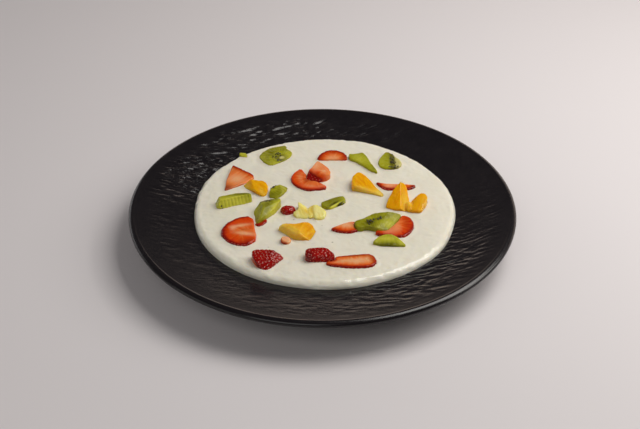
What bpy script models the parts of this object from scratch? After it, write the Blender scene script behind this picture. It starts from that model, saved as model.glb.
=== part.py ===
"""Rice pudding with fruit, served on a wide black coupe plate.

Sizes are in millimetres and are turned into metres once, by MM. The origin lies under
the plate's axis, on the surface that the plate stands on. Run this in Blender 4.5.
"""

import math
from collections import namedtuple

import bmesh
import bpy
from mathutils import Vector, noise

MM = 0.001
GAP = 0.35  # air left between two pieces that touch

# ---- plate ----
TURNS = 72
PLATE_RADIUS = 135.0
PLATE_HEIGHT = 26.0
WELL_DEPTH = 13.4  # rim's crest down to the middle of the well
RIM_LIP = 4.4  # thickness of the rounded edge
PLATE_WALL = 5.0
FOOT_RADIUS = 62.0
FOOT_WIDTH = 5.0
WELL_FLOOR = PLATE_HEIGHT - WELL_DEPTH
RIM_CREST_RADIUS = PLATE_RADIUS - RIM_LIP / 2
BOWL = WELL_DEPTH / RIM_CREST_RADIUS**2  # the well rises with the square of the radius
WELL_STATIONS = (30, 60, 85, 103, 119)
UNDER_STATIONS = (125, 105, 84)

# ---- pudding ----
PUDDING_RADIUS = 92.1
PUDDING_CENTRE = (1.5, -0.5)
PUDDING_OVAL = 0.4  # how much its radius grows along Y and shrinks along X
EDGE_LOBES = ((-33, 13, 1.3), (60, 10, 0.7), (-147, 12, 0.6))  # degrees, width, mm
PUDDING_TOP = 23.4
PUDDING_EDGE = 4.4  # width of the rounded edge
RICE_BUMP = 0.35
RICE_LENGTH = 6.0
PUDDING_SEGMENTS = 60
PUDDING_RINGS = 11

# ---- fruit ----
CHUNK_CEILING = 20.0  # the uncut block's height, above every knife cut
FILLET_STEPS = 1

# Each cut is (height over the pudding at the outline's middle, fall in degrees, compass
# angle that it falls towards). The block keeps what lies below all of its cuts.
Fruit = namedtuple(
    "Fruit", "name kind corners cuts sink fillet edge draft domed under",
    defaults=(2.0, 2.0, 0.5, 0.04, False, ()),
)

FRUIT = (
    Fruit("kiwi_half_round", "kiwi",
          ((-48, 62), (-45, 70), (-39, 76), (-27, 79), (-27.3, 72.5), (-22.4, 69.5),
           (-23.4, 62), (-30, 55), (-38, 48.5), (-43, 53)),
          ((1.2, 3, 150),), sink=1.5),
    Fruit("kiwi_crumb", "kiwi", ((-62.6, 67.2), (-56.5, 66.5), (-55.8, 60.5), (-62, 62.5)),
          ((1.5, 6, -60),), sink=1.3, fillet=1.2),
    Fruit("strawberry_wedge_left", "strawberry",
          ((-66, 47), (-50, 35.5), (-49.5, 31), (-57, 23), (-69.9, 14.5), (-69.4, 28)),
          ((2.2, 4, -60),), sink=2.0, fillet=1.2, under=("orange_chunk_left",)),
    Fruit("orange_chunk_left", "orange",
          ((-51.5, 24), (-41, 24), (-38.4, 18.5), (-39.5, 10.5), (-42, 7), (-50, 14.5),
           (-57.2, 20), (-56.5, 22.8)),
          ((3.6, 12, -45), (5.4, 36, -150)), fillet=1.5, edge=0.9),
    Fruit("kiwi_leaf_left", "kiwi",
          ((-36, 17.4), (-29, 19.8), (-24.2, 20.4), (-24.6, 16), (-28.2, 9.5), (-31, 5.6),
           (-37.4, 5.6), (-37.9, 12)),
          ((2.9, 8, -110), (4.2, 32, 0)), fillet=1.5),
    Fruit("kiwi_ribbed_chunk", "kiwi",
          ((-73.5, 0.5), (-60.3, 5.6), (-52.2, 5.8), (-49, 3.2), (-50.2, 0), (-61.5, -4.2),
           (-69.7, -8.4), (-74, -6.6), (-76, -1)),
          ((5.6, 2, 110), (6.8, 58, -68), (23.0, 62, 190)), fillet=1.0, edge=0.7),
    Fruit("kiwi_wedge_left", "kiwi",
          ((-47.6, -9), (-40, -3.4), (-29.6, -0.8), (-28.4, -3.5), (-32.5, -12.5),
           (-39.4, -21.5), (-45, -26.4), (-47.6, -22)),
          ((6.6, 6, 110), (7.2, 33, -50), (9.2, 46, 190)), fillet=1.2, edge=0.7),
    Fruit("strawberry_scrap_left", "strawberry",
          ((-45.4, -21), (-46.2, -28.2), (-41.5, -29.2), (-37, -23), (-40, -19)),
          ((1.3, 4, -100),), fillet=1.5, under=("kiwi_wedge_left", "strawberry_slice_big")),
    Fruit("strawberry_slice_big", "strawberry",
          ((-47.5, -20), (-55, -19.5), (-62.5, -24), (-67.5, -30), (-69.3, -37),
           (-67, -44), (-60.5, -50.5), (-54, -53), (-46, -50), (-43.6, -43),
           (-45.6, -35), (-46.6, -27)),
          ((2.4, 3, -110),), fillet=3.0, edge=0.8, under=("kiwi_wedge_left",)),
    Fruit("strawberry_tip_front", "strawberry",
          ((-45, -62.6), (-46.6, -66), (-44.8, -71.4), (-41.8, -76.5), (-37.6, -79),
           (-33.6, -77.4), (-30, -72), (-24.8, -66), (-26, -63.4), (-36, -62.4)),
          ((5.2, 6, -80), (6.4, 35, -75), (7.8, 36, -15)), fillet=1.5, edge=1.2),
    Fruit("strawberry_scrap_middle", "strawberry",
          ((-29.6, -8.5), (-26, -6.4), (-21, -6.2), (-17.8, -8.5), (-18.8, -12),
           (-22.8, -15.3), (-26.5, -14.5), (-29, -11.5)),
          ((3.9, 10, -80),), fillet=1.5, domed=True),
    Fruit("pineapple_flap", "pineapple",
          ((-17, -4), (-12.6, -6), (-8.9, -9), (-8, -13), (-10.3, -20.3), (-18, -19.2),
           (-20.7, -14.4), (-16.5, -11)),
          ((3.4, 16, -100), (4.4, 30, 15)), fillet=1.0,
          under=("pineapple_block", "strawberry_scrap_middle")),
    Fruit("pineapple_block", "pineapple",
          ((-10.4, -6.6), (-2, -8.2), (3.2, -13.8), (1.3, -20.8), (-5, -22), (-7, -14)),
          ((3.6, 12, -70), (5.0, 34, 195)), fillet=1.2, edge=0.8),
    Fruit("kiwi_leaf_middle", "kiwi",
          ((-2, -4.4), (1.5, -0.6), (6.5, 3.4), (13, 5.8), (16.9, 3.4), (16, -1.4),
           (10.4, -4.6), (5.2, -9), (1.2, -7.8)),
          ((3.0, 12, -60), (4.8, 28, 120)), fillet=1.8, under=("pineapple_block",)),
    Fruit("orange_chunk_middle", "orange",
          ((-31, -32), (-27.5, -29.6), (-20.5, -31), (-12, -27.4), (-6.6, -28.4),
           (-4.2, -35), (-1.6, -40), (-3.6, -44), (-9, -45.4), (-18, -45),
           (-22.3, -41), (-26, -37)),
          ((5.6, 6, 200), (6.4, 32, -20)), fillet=1.5, domed=True),
    Fruit("strawberry_cube_pale", "strawberry",
          ((-28.2, -44), (-24.5, -42.4), (-21.2, -44), (-20.6, -47.3), (-23.8, -50.2),
           (-27.4, -48.6)),
          ((2.3, 8, -70),), fillet=1.2, edge=0.7),
    Fruit("strawberry_crescent", "strawberry",
          ((-15.8, 43.6), (-22, 35.5), (-23.4, 28.5), (-20, 21), (-12, 15), (-5, 15.2),
           (4.2, 17.8), (1.6, 22.2), (-6, 27), (-12, 35.5)),
          ((2.3, 3, -110),), fillet=2.2, edge=0.7, under=("strawberry_wedge_back",)),
    Fruit("strawberry_wedge_back", "strawberry",
          ((-3.6, 53.4), (-8, 41), (-12.4, 31.8), (-9.6, 26.8), (-2.5, 26.6), (4.6, 29.4),
           (6.4, 34), (4.8, 41), (1, 46.5)),
          ((4.8, 5, 70), (7.4, 34, -120)), fillet=1.8, edge=0.9),
    Fruit("strawberry_half_round", "strawberry",
          ((-4.4, 57), (-3.4, 61.6), (0, 66.4), (4, 69.5), (9, 69.9), (14.3, 67.8),
           (18, 64.4), (18.8, 60), (18.4, 57.4), (8, 57.2)),
          ((2.2, 4, -90),), fillet=2.0, edge=0.6),
    Fruit("kiwi_bent_strip", "kiwi",
          ((19.8, 64.6), (23, 63.4), (30.5, 65), (33.4, 59.5), (36, 51), (39.8, 42.5),
           (40.6, 38), (36, 40.8), (31, 47.6), (25, 54.2), (19.9, 57.6)),
          ((2.4, 6, -130),), fillet=1.2),
    Fruit("kiwi_half_cored", "kiwi",
          ((48.8, 69.8), (51.8, 66), (54.6, 60.5), (59.2, 53), (57.6, 46.4),
           (50.8, 43.2), (44, 45), (40.7, 51), (42.2, 58), (45.2, 65)),
          ((1.9, 4, 170),), sink=1.8, fillet=2.0),
    Fruit("orange_wedge_right", "orange",
          ((26.4, 32.4), (30.4, 30), (34.7, 24.6), (39, 17), (43.9, 11.2), (42.6, 7.6),
           (36, 10.8), (27, 14), (21.3, 15.3), (20.6, 20), (21.4, 26.4), (23.4, 29.6)),
          ((4.4, 12, -45),), fillet=1.0, edge=0.9),
    Fruit("strawberry_sliver_right", "strawberry",
          ((38, 26.2), (45, 23.7), (59.7, 23.2), (68, 22), (65.6, 18.2),
           (61, 16.2), (45.5, 16.3), (41.2, 20)),
          ((1.7, 3, -90),), fillet=1.5, under=("orange_peak_right", "orange_wedge_right")),
    Fruit("orange_peak_right", "orange",
          ((56.4, 16), (59.8, 14), (61.1, 3), (59.9, -11.2), (50, -9.4), (44, -6.4),
           (45.8, 0), (50.4, 9.5)),
          ((5.4, 17, -125), (6.6, 34, -25)), fillet=1.2, edge=0.9),
    Fruit("orange_lobe_right", "orange",
          ((61.8, 1.2), (66, 3.6), (71, 6), (74.2, 2.4), (72.8, -4), (68.4, -13),
           (60.6, -12)),
          ((4.4, 10, -110), (6.4, 42, 170)), fillet=1.4, edge=0.9),
    Fruit("strawberry_wedge_middle", "strawberry",
          ((5, -33.6), (11, -29.4), (18.7, -25.6), (26, -25.4), (28, -34), (17.4, -37.6),
           (11, -36.6)),
          ((2.2, 5, -80),), fillet=1.2, under=("kiwi_slab_right",)),
    Fruit("kiwi_slab_right", "kiwi",
          ((21.4, -27.6), (29, -23.8), (35, -18.8), (45, -17.4), (49.5, -16.4),
           (54.8, -16.8), (52.8, -22.4), (48.8, -28.6), (43.7, -35.6), (39.2, -36),
           (34.7, -35.2), (29.6, -33.4), (25, -35.6), (22.4, -33)),
          ((4.6, 4, -100), (5.6, 22, -35)), sink=1.5, fillet=1.2, edge=0.6),
    Fruit("strawberry_slice_right", "strawberry",
          ((54, -18), (59, -18), (62, -23), (62.8, -28.5), (61, -35), (57.4, -40.3),
           (53.3, -43.2), (48, -41), (36, -40.6), (35.6, -36), (44, -24)),
          ((2.3, 3, -60),), fillet=2.0, edge=0.8,
          under=("kiwi_slab_right", "kiwi_half_moon")),
    Fruit("kiwi_half_moon", "kiwi",
          ((40, -42.6), (45, -41.2), (49.2, -43.4), (53, -48), (56.2, -52.4),
           (49.5, -52.8), (40, -52), (33, -50), (36, -45.4)),
          ((2.6, 9, -90),), fillet=1.2, edge=0.4),
    Fruit("strawberry_chunk_front", "strawberry",
          ((-11, -60.6), (-5, -59.2), (2.4, -59), (5, -61.6), (8.8, -67), (7.2, -69.8),
           (-5, -70.4), (-9.2, -70.2), (-11.6, -68)),
          ((4.6, 4, -80), (7.6, 48, -85)), fillet=1.5, edge=1.0),
    Fruit("strawberry_slice_long", "strawberry",
          ((1.2, -72), (4, -74.8), (19.4, -77), (31, -76.2), (35, -73.6), (35.9, -67.5),
           (32.6, -63), (29.2, -62.2), (19.4, -63.4), (8, -65.4)),
          ((2.2, 3, -90),), fillet=2.0, edge=0.8, under=("strawberry_chunk_front",)),
)

# sRGB colour and roughness of each material
LOOKS = {
    "plate": ((0.13, 0.13, 0.14), 0.35),
    "pudding": ((0.88, 0.86, 0.80), 0.35),
    "kiwi": ((0.50, 0.54, 0.12), 0.3),
    "strawberry": ((0.72, 0.12, 0.06), 0.3),
    "orange": ((0.85, 0.55, 0.05), 0.3),
    "pineapple": ((0.88, 0.82, 0.42), 0.3),
}


def clear_scene():
    for obj in list(bpy.data.objects):
        bpy.data.objects.remove(obj, do_unlink=True)


def to_linear(channel):
    if channel <= 0.04045:
        return channel / 12.92
    return ((channel + 0.055) / 1.055) ** 2.4


def material(name, kind):
    colour, roughness = LOOKS[kind]
    made = bpy.data.materials.new(name)
    made.use_nodes = True
    shader = made.node_tree.nodes["Principled BSDF"]
    shader.inputs["Base Color"].default_value = (*map(to_linear, colour), 1.0)
    shader.inputs["Roughness"].default_value = roughness
    shader.inputs["Metallic"].default_value = 0.0
    made.diffuse_color = (*colour, 1.0)
    return made


def object_from(bm, name, kind):
    """Turn a bmesh in millimetres into an object in metres, with its own material."""
    bmesh.ops.recalc_face_normals(bm, faces=bm.faces)
    bmesh.ops.scale(bm, vec=(MM, MM, MM), verts=bm.verts)
    mesh = bpy.data.meshes.new(name)
    bm.to_mesh(mesh)
    bm.free()
    obj = bpy.data.objects.new(name, mesh)
    if kind:
        mesh.materials.append(material(name, kind))
    return obj


# ---- plate ----


def well_height(radius):
    return WELL_FLOOR + BOWL * radius**2


def plate_profile():
    """Half of the section, from the middle of the well round the rim to the underside."""
    top = [(0, WELL_FLOOR)] + [(r, well_height(r)) for r in WELL_STATIONS]
    half_lip = RIM_LIP / 2
    rim = []
    for step in range(7):
        turn = math.radians(100 - 32 * step)
        rim.append((RIM_CREST_RADIUS + half_lip * math.cos(turn),
                    PLATE_HEIGHT - half_lip + half_lip * math.sin(turn)))
    under = [(r, well_height(r) - PLATE_WALL) for r in UNDER_STATIONS]
    belly = well_height(FOOT_RADIUS) - PLATE_WALL
    foot_inside = FOOT_RADIUS - FOOT_WIDTH
    foot = [(FOOT_RADIUS + 1.5, belly), (FOOT_RADIUS, 0.8), (FOOT_RADIUS - 0.8, 0),
            (foot_inside + 0.8, 0), (foot_inside, 0.8), (foot_inside - 1.5, belly - 0.6)]
    return top + rim + under + foot + [(0, WELL_FLOOR - PLATE_WALL)]


def make_plate():
    bm = bmesh.new()
    ring = [bm.verts.new((r, 0, z)) for r, z in plate_profile()]
    edges = [bm.edges.new(pair) for pair in zip(ring, ring[1:])]
    bmesh.ops.spin(bm, geom=ring + edges, axis=(0, 0, 1), cent=(0, 0, 0),
                   angle=math.tau, steps=TURNS, use_merge=False)
    bmesh.ops.remove_doubles(bm, verts=bm.verts, dist=0.001)
    return object_from(bm, "plate", "plate")


# ---- pudding ----


def pudding_radius(angle):
    wobble = 0.3 * math.sin(5 * angle + 0.6) + 0.2 * math.sin(9 * angle + 2)
    for middle, width, height in EDGE_LOBES:
        away = math.degrees(math.remainder(angle - math.radians(middle), math.tau))
        wobble += height * math.exp(-((away / width) ** 2))
    return PUDDING_RADIUS - PUDDING_OVAL * math.cos(2 * angle) + wobble


def ring_of(bm, share, height):
    """One closed loop of the pudding, share being the part of its radius."""
    loop = []
    for step in range(PUDDING_SEGMENTS):
        angle = math.tau * step / PUDDING_SEGMENTS
        radius = share * pudding_radius(angle)
        x = PUDDING_CENTRE[0] + radius * math.cos(angle)
        y = PUDDING_CENTRE[1] + radius * math.sin(angle)
        loop.append(bm.verts.new((x, y, height(x, y))))
    return loop


def rice_bumps(x, y):
    return PUDDING_TOP + RICE_BUMP * noise.noise((x / RICE_LENGTH, y / RICE_LENGTH, 3.7))


def underside(x, y):
    return well_height(math.hypot(x, y)) + GAP


def bridge(bm, first, second):
    count = len(first)
    for i in range(count):
        j = (i + 1) % count
        bm.faces.new((first[i], first[j], second[j], second[i]))


def close_with_point(bm, loop, point):
    middle = bm.verts.new(point)
    for i, vert in enumerate(loop):
        bm.faces.new((vert, loop[(i + 1) % len(loop)], middle))


def make_pudding():
    bm = bmesh.new()
    flat_share = 1 - PUDDING_EDGE / PUDDING_RADIUS
    rings = []
    for i in range(1, PUDDING_RINGS + 1):
        rings.append(ring_of(bm, flat_share * i / PUDDING_RINGS, rice_bumps))
    for turn in (30, 58, 80):
        lean = math.radians(turn)
        share = flat_share + (1 - flat_share) * math.sin(lean)
        drop = PUDDING_EDGE * (1 - math.cos(lean))
        rings.append(ring_of(bm, share, lambda x, y, drop=drop: PUDDING_TOP - drop))
    for share in (0.985, 0.75, 0.5, 0.25):
        rings.append(ring_of(bm, share, underside))
    for first, second in zip(rings, rings[1:]):
        bridge(bm, first, second)
    x, y = PUDDING_CENTRE
    close_with_point(bm, rings[0], (x, y, rice_bumps(x, y)))
    close_with_point(bm, rings[-1], (x, y, underside(x, y)))
    return object_from(bm, "pudding", "pudding")


# ---- fruit ----


def filleted(corners, radius):
    """The outline with each corner rounded off, as a list of 2-D points."""
    points = [Vector(corner) for corner in corners]
    loop = []
    for i, corner in enumerate(points):
        before = points[i - 1] - corner
        after = points[(i + 1) % len(points)] - corner
        reach = min(radius, 0.42 * before.length, 0.42 * after.length)
        start = corner + before.normalized() * reach
        end = corner + after.normalized() * reach
        for step in range(FILLET_STEPS + 1):
            t = step / FILLET_STEPS
            loop.append((1 - t) ** 2 * start + 2 * t * (1 - t) * corner + t**2 * end)
    return loop


def middle_of(loop):
    total = Vector((0, 0))
    for point in loop:
        total += point
    return total / len(loop)


def block_rings(item):
    """(scale, height over the pudding) of each level of the uncut block."""
    if not item.domed:
        return ((0.95, -item.sink), (1, -0.4 * item.sink), (1, 0),
                (1 - item.draft, CHUNK_CEILING))
    peak = item.cuts[0][0]
    return ((0.92, -item.sink), (1, -0.3 * item.sink), (1, 0.12 * peak),
            (0.94, 0.5 * peak), (0.8, 0.82 * peak), (0.5, peak))


def fruit_mesh(item):
    loop = filleted(item.corners, item.fillet)
    middle = middle_of(loop)
    bm = bmesh.new()
    rings = []
    for scale, height in block_rings(item):
        placed = [middle + (point - middle) * scale for point in loop]
        rings.append([bm.verts.new((p.x, p.y, PUDDING_TOP + height)) for p in placed])
    for first, second in zip(rings, rings[1:]):
        bridge(bm, first, second)
    bm.faces.new(rings[0])
    bm.faces.new(rings[-1])
    bmesh.ops.recalc_face_normals(bm, faces=bm.faces)
    if item.domed:
        cuts = item.cuts[1:]
    else:
        cuts = item.cuts
    for height, fall, toward in cuts:
        slice_top(bm, middle, height, math.radians(fall), math.radians(toward))
    soften_edges(bm, item)
    return bm


def slice_top(bm, middle, height, fall, toward):
    """Take away what lies above a tilted plane, and close the cut."""
    normal = Vector((math.sin(fall) * math.cos(toward), math.sin(fall) * math.sin(toward),
                     math.cos(fall)))
    bmesh.ops.bisect_plane(bm, geom=bm.verts[:] + bm.edges[:] + bm.faces[:],
                           plane_co=(middle.x, middle.y, PUDDING_TOP + height),
                           plane_no=normal, clear_outer=True)
    rim = [edge for edge in bm.edges if edge.is_boundary]
    bmesh.ops.holes_fill(bm, edges=rim, sides=0)
    bmesh.ops.recalc_face_normals(bm, faces=bm.faces)


def soften_edges(bm, item):
    sharp = [edge for edge in bm.edges
             if edge.is_manifold and edge.calc_face_angle() > math.radians(28)
             and min(v.co.z for v in edge.verts) > PUDDING_TOP]
    bmesh.ops.bevel(bm, geom=sharp, offset=item.edge, offset_type="OFFSET", segments=1,
                    profile=0.5, affect="EDGES", clamp_overlap=True)
    bmesh.ops.remove_doubles(bm, verts=bm.verts, dist=0.02)


def cutter_for(item, depth):
    """A straight block, GAP wider than the fruit, that makes room for it."""
    loop = filleted(item.corners, item.fillet)
    bm = bmesh.new()
    count = len(loop)
    wider = []
    for i, point in enumerate(loop):
        along = (loop[(i + 1) % count] - loop[i - 1]).normalized()
        wider.append(point + Vector((-along.y, along.x)) * GAP * turn_of(loop))
    low = [bm.verts.new((p.x, p.y, PUDDING_TOP - depth)) for p in wider]
    high = [bm.verts.new((p.x, p.y, PUDDING_TOP + CHUNK_CEILING)) for p in wider]
    bridge(bm, low, high)
    bm.faces.new(low)
    bm.faces.new(high)
    cutter = object_from(bm, "room_for_" + item.name, None)
    cutter.hide_render = True
    cutter.display_type = "WIRE"
    return cutter


def turn_of(loop):
    """-1 for an outline that runs anticlockwise and 1 for a clockwise one."""
    area = sum(a.x * b.y - b.x * a.y for a, b in zip(loop, loop[1:] + loop[:1]))
    return -1 if area > 0 else 1


def cut_with(obj, cutters, name):
    group = bpy.data.collections.new(name)
    bpy.context.scene.collection.children.link(group)
    group.hide_render = True
    for cutter in cutters:
        group.objects.link(cutter)
    cut = obj.modifiers.new("make_room", "BOOLEAN")
    cut.operation = "DIFFERENCE"
    cut.solver = "EXACT"
    cut.operand_type = "COLLECTION"
    cut.collection = group


def main():
    clear_scene()
    scene = bpy.context.scene.collection
    scene.objects.link(make_plate())
    pudding = make_pudding()
    scene.objects.link(pudding)
    by_name = {item.name: item for item in FRUIT}
    for item in FRUIT:
        piece = object_from(fruit_mesh(item), item.name, item.kind)
        scene.objects.link(piece)
        if item.under:
            above = [cutter_for(by_name[name], CHUNK_CEILING) for name in item.under]
            cut_with(piece, above, "over_" + item.name)
    pockets = [cutter_for(item, item.sink + GAP) for item in FRUIT]
    cut_with(pudding, pockets, "pockets")


main()
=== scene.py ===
# %% [markdown]
# # Rice pudding with fruit on a black coupe plate
# This notebook dresses a plain model: a wide black plate, a pool of rice pudding and the
# cut fruit on it. The plain model gives every place and size. Each cell below takes one
# thing, says what it is on the real dish, and then makes it.

# %% Load the plain model
import math
import random

import bmesh
import bpy
import numpy as np
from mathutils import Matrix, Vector, kdtree, noise
from mathutils.bvhtree import BVHTree


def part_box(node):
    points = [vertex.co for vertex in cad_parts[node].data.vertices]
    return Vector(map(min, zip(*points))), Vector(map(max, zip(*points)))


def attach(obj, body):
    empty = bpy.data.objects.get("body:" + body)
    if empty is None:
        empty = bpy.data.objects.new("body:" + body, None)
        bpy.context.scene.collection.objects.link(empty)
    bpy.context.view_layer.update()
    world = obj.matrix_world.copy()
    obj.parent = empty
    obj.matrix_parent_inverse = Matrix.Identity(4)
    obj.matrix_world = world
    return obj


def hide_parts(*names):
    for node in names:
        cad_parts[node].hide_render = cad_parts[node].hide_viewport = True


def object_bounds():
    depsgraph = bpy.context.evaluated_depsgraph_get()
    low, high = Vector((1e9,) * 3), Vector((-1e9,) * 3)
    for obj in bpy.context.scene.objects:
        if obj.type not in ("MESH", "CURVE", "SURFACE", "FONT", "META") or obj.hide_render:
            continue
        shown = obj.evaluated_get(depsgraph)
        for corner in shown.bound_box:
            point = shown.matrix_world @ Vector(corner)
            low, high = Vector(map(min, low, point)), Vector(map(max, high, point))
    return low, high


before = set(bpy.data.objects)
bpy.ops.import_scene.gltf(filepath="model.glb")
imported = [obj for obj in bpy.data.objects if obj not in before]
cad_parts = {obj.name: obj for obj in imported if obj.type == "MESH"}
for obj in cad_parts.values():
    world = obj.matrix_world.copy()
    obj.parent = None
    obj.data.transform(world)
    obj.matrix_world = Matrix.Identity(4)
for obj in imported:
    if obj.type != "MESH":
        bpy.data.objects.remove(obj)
plain_low, plain_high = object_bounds()
scene = bpy.context.scene
MM = 0.001
print("plain model:", [round(side / MM, 1) for side in plain_high - plain_low], "mm")


def add_object(name, data):
    """Put a new object that holds this data in the scene."""
    made = bpy.data.objects.new(name, data)
    scene.collection.objects.link(made)
    return made


def add_mesh(bm, name, material):
    """Put a bmesh in the scene, in one material; the bmesh is used up."""
    mesh = bpy.data.meshes.new(name)
    bm.to_mesh(mesh)
    bm.free()
    mesh.materials.append(material)
    return add_object(name, mesh)


# %% [markdown]
# ## Camera and light
# The dish is seen from a seat at the table: about 34 degrees down, from two thirds of a
# metre away. Food looks wet and fresh when the main light comes from behind and to one
# side, so a soft window stands high at the back right, and a lower one on the right
# draws a bright line along the plate's edge. Two low glows behind the dish graze the
# plate and show its relief. Two weak lights in front, one high and one low, and an even
# sky fill the shadows.

# %% Camera
LENS = 62.66  # millimetres
SENSOR = 36.0
SEAT = (-0.5, -652, 457)  # where the eye is, in millimetres
LOOK_DOWN = 34.19  # degrees
LOOK_LEFT = 0.1


def add_camera():
    lens = bpy.data.cameras.new("table_view")
    lens.lens = LENS
    lens.sensor_width = SENSOR
    lens.clip_start = 0.01
    camera = add_object("table_view", lens)
    camera.location = [side * MM for side in SEAT]
    camera.rotation_euler = (math.radians(90 - LOOK_DOWN), 0, math.radians(LOOK_LEFT))
    scene.camera = camera
    print("camera:", camera.name, "with a lens of", lens.lens, "mm")


add_camera()
scene.view_settings.view_transform = "Standard"

# %% Colours are written as a painter reads them, and turned into linear light


def paint(red, green, blue):
    """A colour from three numbers up to 255, as Blender's shaders want it."""
    channels = []
    for level in (red / 255, green / 255, blue / 255):
        if level <= 0.04045:
            channels.append(level / 12.92)
        else:
            channels.append(((level + 0.055) / 1.055) ** 2.4)
    return (*channels, 1.0)


# %% Soft windows and sky
LIT_POINT = Vector((0, 0, 0.02))  # every window faces the middle of the dish
SKY_STRENGTH = 0.11
# name: (place in metres, (width, height), power in watts, colour)
WINDOWS = {
    "window_right": ((0.441, 0.178, 0.823), (0.56, 0.56), 5.6, (1.0, 0.975, 0.93)),
    "window_side": ((0.82, 0.07, 0.57), (0.5, 0.5), 2.8, (1.0, 0.97, 0.92)),
    "fill_front": ((-0.35, -0.95, 0.95), (0.8, 0.8), 2.6, (1.0, 0.98, 0.95)),
    "low_glow_back": ((0.45, 1.15, 0.24), (2.2, 0.36), 2.5, (1.0, 0.80, 0.66)),
    "low_front_left": ((-0.85, -0.45, 0.34), (0.7, 0.4), 0.7, (1.0, 0.97, 0.92)),
    "low_glow_left": ((-1.0, 0.8, 0.3), (1.0, 0.36), 1.3, (1.0, 0.97, 0.98)),
}


def add_window(name, place, size, power, colour):
    light = bpy.data.lights.new(name, "AREA")
    light.shape = "RECTANGLE"
    light.size, light.size_y = size
    light.energy = power
    light.color = colour
    window = add_object(name, light)
    window.location = place
    window.rotation_euler = (LIT_POINT - Vector(place)).to_track_quat("-Z", "Y").to_euler()
    window.visible_camera = False


def add_sky():
    world = bpy.data.worlds.new("soft_room")
    scene.world = world
    world.use_nodes = True
    sky = world.node_tree.nodes["Background"]
    sky.inputs["Color"].default_value = paint(228, 226, 228)
    sky.inputs["Strength"].default_value = SKY_STRENGTH


for name, window in WINDOWS.items():
    add_window(name, *window)
add_sky()
print("windows:", list(WINDOWS))

# %% [markdown]
# ## Helpers for shader trees
# A material here is a small tree of nodes. These few helpers keep each tree readable.
# A socket is given either a plain value or another node's output, and feed does
# whichever is right. An output knows the tree it belongs to, as its id_data.

# %% Node helpers


def new_material(name):
    """A material, its node tree and its Principled shader."""
    material = bpy.data.materials.new(name)
    material.use_nodes = True
    tree = material.node_tree
    return material, tree, tree.nodes["Principled BSDF"]


def feed(socket, value):
    """Set a socket to a plain value, or join another node's output to it."""
    if isinstance(value, (int, float, tuple)):
        socket.default_value = value
    else:
        socket.id_data.links.new(value, socket)


def add_node(tree, kind, inputs=None, **settings):
    """Add a node; inputs gives a value or an output for each socket it names."""
    node = tree.nodes.new(kind)
    for name, value in settings.items():
        setattr(node, name, value)
    for socket, value in (inputs or {}).items():
        feed(node.inputs[socket], value)
    return node


def dress(shader, **looks):
    """Fill the shader's sockets. What is the same all over is set on the socket itself."""
    for name, value in looks.items():
        feed(shader.inputs[name.replace("_", " ")], value)


def field(tree, name):
    """A value that was written on the piece's points."""
    return add_node(tree, "ShaderNodeAttribute", attribute_name=name).outputs["Fac"]


def place(tree):
    """Where a point lies on the dish, in metres."""
    return add_node(tree, "ShaderNodeTexCoord").outputs["Object"]


def combined(x, y, z=0.0):
    return add_node(x.id_data, "ShaderNodeCombineXYZ", {0: x, 1: y, 2: z}).outputs[0]


def maths(operation, first, second=0.0, third=0.0, clamp=False):
    values = {0: first, 1: second, 2: third}
    return add_node(first.id_data, "ShaderNodeMath", values, operation=operation,
                    use_clamp=clamp).outputs[0]


def times(first, second, clamp=False):
    return maths("MULTIPLY", first, second, clamp=clamp)


def plus(first, second):
    return maths("ADD", first, second)


def ramp(factor, stops):
    """Colours along a value: stops are (place, red, green, blue)."""
    node = add_node(factor.id_data, "ShaderNodeValToRGB", {"Fac": factor})
    elements = node.color_ramp.elements
    while len(elements) < len(stops):
        elements.new(0.5)
    for element, (position, *colour) in zip(elements, stops):
        element.position = position
        element.color = paint(*colour)
    return node.outputs["Color"]


def blend(factor, first, second):
    """Mix two colours."""
    values = {0: factor, 6: first, 7: second}
    return add_node(factor.id_data, "ShaderNodeMix", values, data_type="RGBA").outputs[2]


def spread(value, low, high, to_low=0.0, to_high=1.0):
    """Stretch a value from one range to another, and clamp it."""
    values = {"Value": value, "From Min": low, "From Max": high, "To Min": to_low,
              "To Max": to_high}
    return add_node(value.id_data, "ShaderNodeMapRange", values).outputs["Result"]


def stretched(vector, scale):
    values = {"Vector": vector, "Scale": scale}
    return add_node(vector.id_data, "ShaderNodeMapping", values).outputs[0]


def cloud(vector, scale, detail=3.0, roughness=0.5):
    """Soft noise, from 0 to 1."""
    values = {"Vector": vector, "Scale": scale, "Detail": detail, "Roughness": roughness}
    return add_node(vector.id_data, "ShaderNodeTexNoise", values).outputs["Fac"]


def bump(height, distance, strength):
    """A normal that leans with a height; distance says how tall a height of 1 is."""
    values = {"Strength": strength, "Distance": distance, "Height": height}
    return add_node(height.id_data, "ShaderNodeBump", values).outputs["Normal"]


# %% [markdown]
# ## Floor
# The table is plain, matt and pale, so that nothing competes with the dish. It isn't
# part of the dish.

# %% Floor
FLOOR_HALF = 3.0  # metres


def make_floor():
    bm = bmesh.new()
    bmesh.ops.create_grid(bm, x_segments=1, y_segments=1, size=FLOOR_HALF)
    surface, _, shader = new_material("pale_table")
    dress(shader, Base_Color=paint(222, 217, 219), Roughness=0.85)
    floor = add_mesh(bm, "floor", surface)
    print("floor:", floor.dimensions.x, "m wide")


make_floor()

# %% [markdown]
# ## Helpers for meshes
# Every finished piece keeps its object at the origin, and its place is in its mesh, in
# metres. Points move in bulk as arrays, which is quick even for a hundred thousand.

# %% Mesh helpers


def piece_from(bm, name, material, stands_for=()):
    """Make a piece of the dish from a bmesh in metres, riding on the one body."""
    piece = add_mesh(bm, name, material)
    piece.data.shade_smooth()
    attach(piece, "root")
    if stands_for:
        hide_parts(*stands_for)
    return piece


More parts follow.
